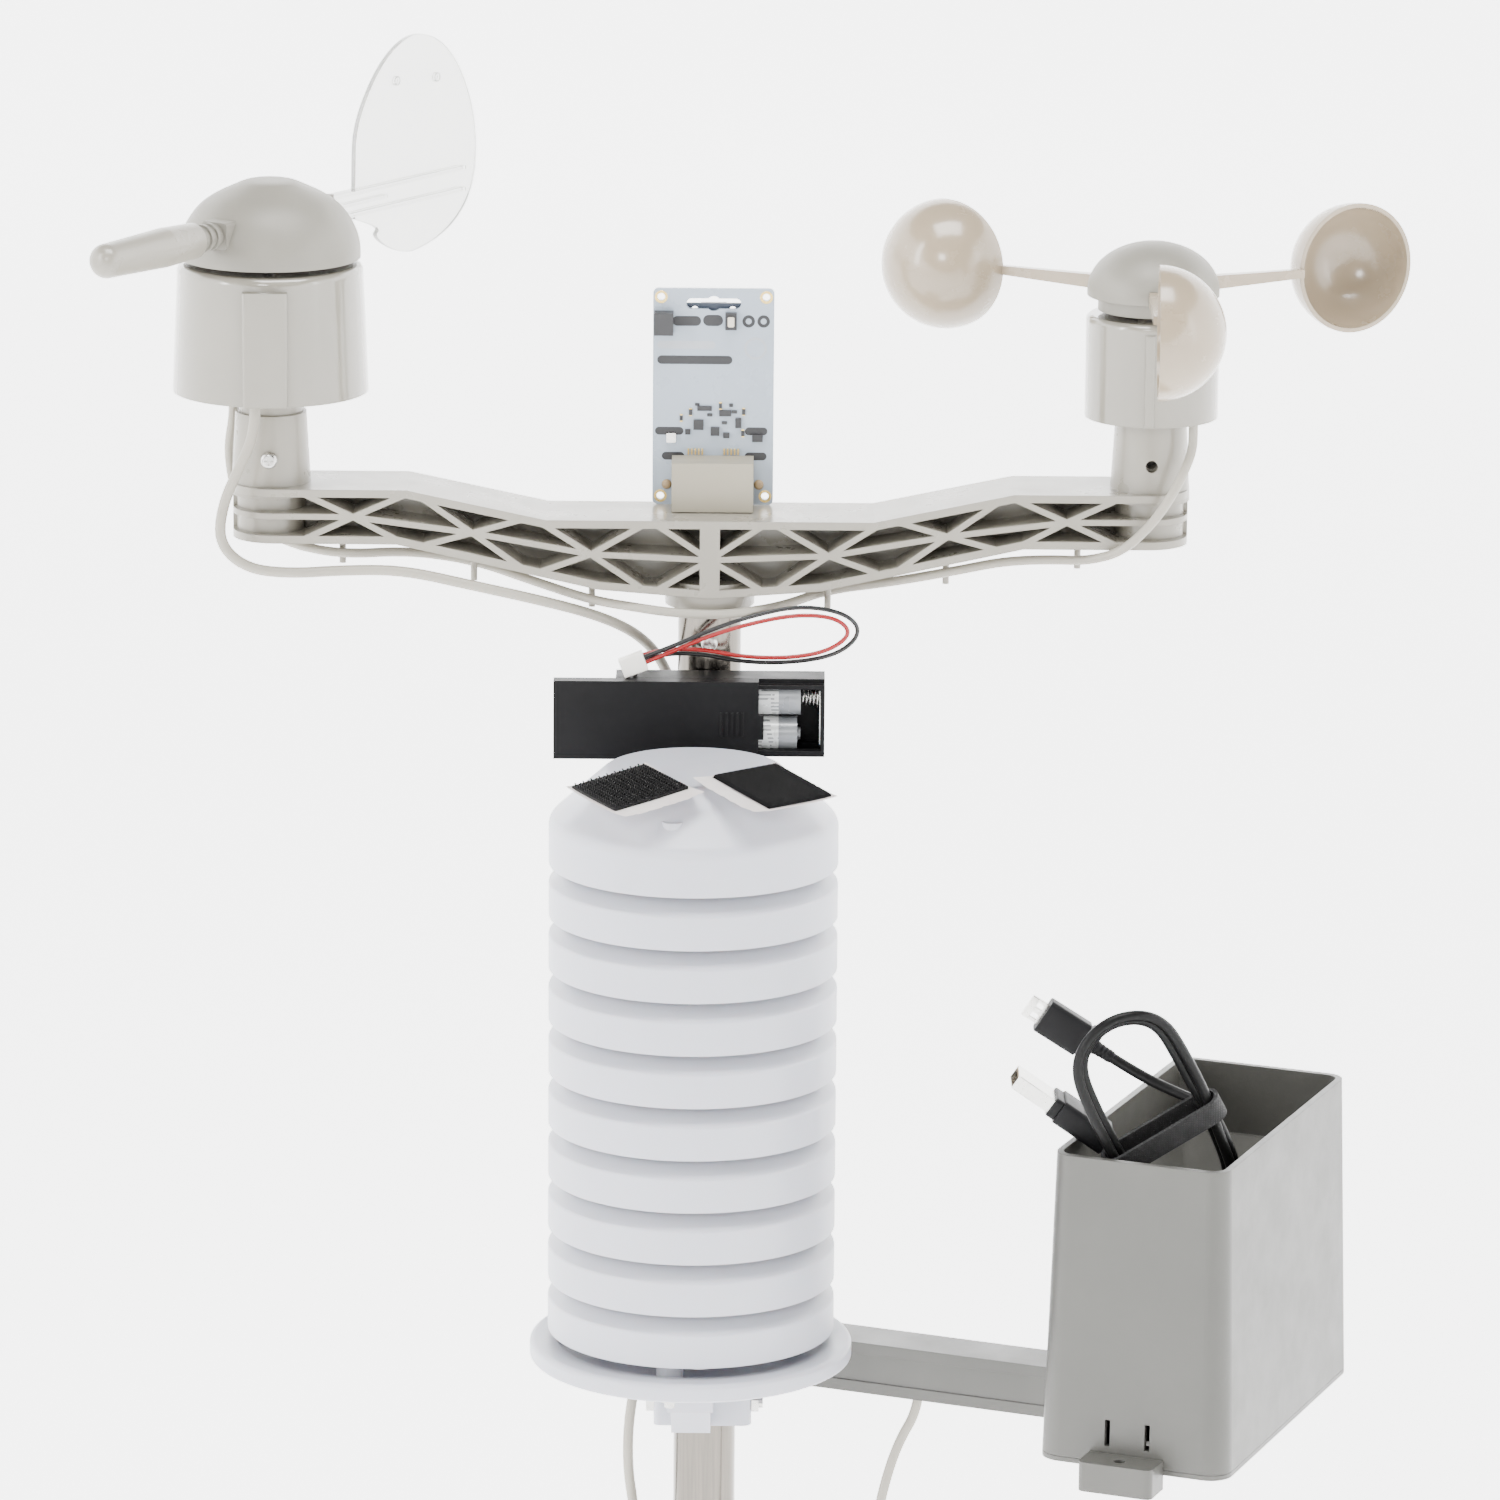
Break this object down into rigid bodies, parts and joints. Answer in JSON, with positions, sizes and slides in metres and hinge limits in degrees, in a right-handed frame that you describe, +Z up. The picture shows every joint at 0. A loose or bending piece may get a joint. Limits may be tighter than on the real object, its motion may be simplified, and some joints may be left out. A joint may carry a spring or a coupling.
{
  "type": "home weather station",
  "caption": "Pole weather station: wind vane and cup anemometer on a lattice crossarm, louvred sensor screen, tipping-bucket rain gauge, sensor board, battery box and leads.",
  "frame": {"origin": "centre of the mast's lower end, on the mast's axis", "axes": "+Z up along the mast, +X along the crossarm from the vane to the anemometer, -Y from the mast to the louvred screen"},
  "size_m": [0.3929, 0.2152, 0.5534],
  "materials": {
    "tube_steel": "polished stainless tube",
    "beam_plastic": "satin light grey moulding",
    "cup_plastic": "semi-gloss warm grey moulding",
    "dome_plastic": "matte grey moulding",
    "clear_plastic": "clear moulding",
    "gauge_plastic": "satin mid grey moulding",
    "screen_plastic": "satin white moulding",
    "bracket_plastic": "satin white moulding",
    "screw_steel": "zinc plated",
    "shaft_steel": "ground",
    "bearing_brass": "turned",
    "magnet": "nickel plated",
    "bucket_plastic": "black moulding",
    "green_board": "solder mask",
    "white_board": "white solder mask",
    "module_board": "dark solder mask",
    "chips": "moulded chips",
    "jack_plastic": "beige moulding",
    "button": "small moulded key",
    "black_plastic": "fine textured black moulding",
    "cell_case": "printed sleeve",
    "contacts": "nickel plated",
    "pads": "hook and loop on paper",
    "red_wire": "insulated wire",
    "black_wire": "insulated wire",
    "grey_lead": "sheathed lead",
    "plug_clear": "clear plug",
    "plug_white": "white plug",
    "usb_black": "sheathed lead",
    "strap": "woven strap"
  },
  "bodies": {
    "frame": {"mast": "tube_steel", "crossarm": "beam_plastic", "vane_housing": "beam_plastic", "vane_base_cover": "beam_plastic", "vane_board": "green_board", "rotor_bearings": "bearing_brass", "anemometer_housing": "beam_plastic", "anemometer_base_cover": "beam_plastic", "anemometer_board": "green_board", "screen_louvres": "screen_plastic", "screen_cap": "screen_plastic", "screen_base": "screen_plastic", "screen_bracket": "bracket_plastic", "screen_clamp_jaw": "bracket_plastic", "screen_fasteners": "screw_steel", "side_arm": "gauge_plastic", "gauge_base": "gauge_plastic", "bucket_pin": "shaft_steel", "gauge_board": "green_board", "fixing_screws": "screw_steel", "sensor_board": "white_board", "rj_block": "jack_plastic", "board_components": "chips", "controller_module": "module_board", "battery_box": "black_plastic", "battery_cells": "cell_case", "battery_contacts": "contacts", "hook_pad": "pads", "loop_pad": "pads", "battery_lead_red": "red_wire", "battery_lead_black": "black_wire", "battery_plug": "plug_white", "anemometer_lead": "grey_lead", "wind_lead": "grey_lead", "rain_lead": "grey_lead", "wind_coil": "grey_lead", "rain_coil": "grey_lead", "wind_plug": "plug_clear", "rain_plug": "plug_clear"},
    "vane": {"vane_shaft": "shaft_steel", "vane_magnet": "magnet", "vane_dome": "dome_plastic", "vane_nose": "beam_plastic", "vane_tail": "clear_plastic"},
    "rotor": {"anemometer_shaft": "shaft_steel", "anemometer_magnet": "magnet", "anemometer_hub": "cup_plastic", "anemometer_cups": "cup_plastic"},
    "bucket": {"tipping_bucket": "bucket_plastic", "bucket_magnet": "magnet"},
    "gauge_top": {"gauge_cover": "gauge_plastic", "usb_hank": "usb_black", "usb_tail_micro": "usb_black", "usb_tail_a": "usb_black", "usb_micro_plug": "black_plastic", "usb_a_plug": "black_plastic", "cord_strap": "strap"},
    "cell_cover": {"battery_cover": "black_plastic"},
    "poke": {"poke_button": "button"},
    "boot": {"boot_button": "button"}
  },
  "joints": [
    {"name": "vane_spin", "type": "hinge", "parent": "frame", "child": "vane", "pos_m": [-0.132, 0, 0.5], "axis": [0, 0, 1], "continuous": true},
    {"name": "rotor_spin", "type": "hinge", "parent": "frame", "child": "rotor", "pos_m": [0.132, 0, 0.48], "axis": [0, 0, 1], "continuous": true},
    {"name": "bucket_tip", "type": "hinge", "parent": "frame", "child": "bucket", "pos_m": [0.14835, -0.05994, 0.178], "axis": [0.9272, -0.3746, 0], "range_deg": [-36, 0]},
    {"name": "gauge_cover_lift", "type": "slide", "parent": "frame", "child": "gauge_top", "axis": [0, 0, 1], "range_m": [0, 0.1]},
    {"name": "battery_cover_slide", "type": "slide", "parent": "frame", "child": "cell_cover", "axis": [1, 0, 0], "range_m": [-0.045, 0.0186]},
    {"name": "poke_press", "type": "slide", "parent": "frame", "child": "poke", "axis": [0, 1, 0], "range_m": [0, 0.00025], "stiffness_N_per_m": 600},
    {"name": "boot_press", "type": "slide", "parent": "frame", "child": "boot", "axis": [0, -1, 0], "range_m": [0, 0.00025], "stiffness_N_per_m": 600}
  ]
}
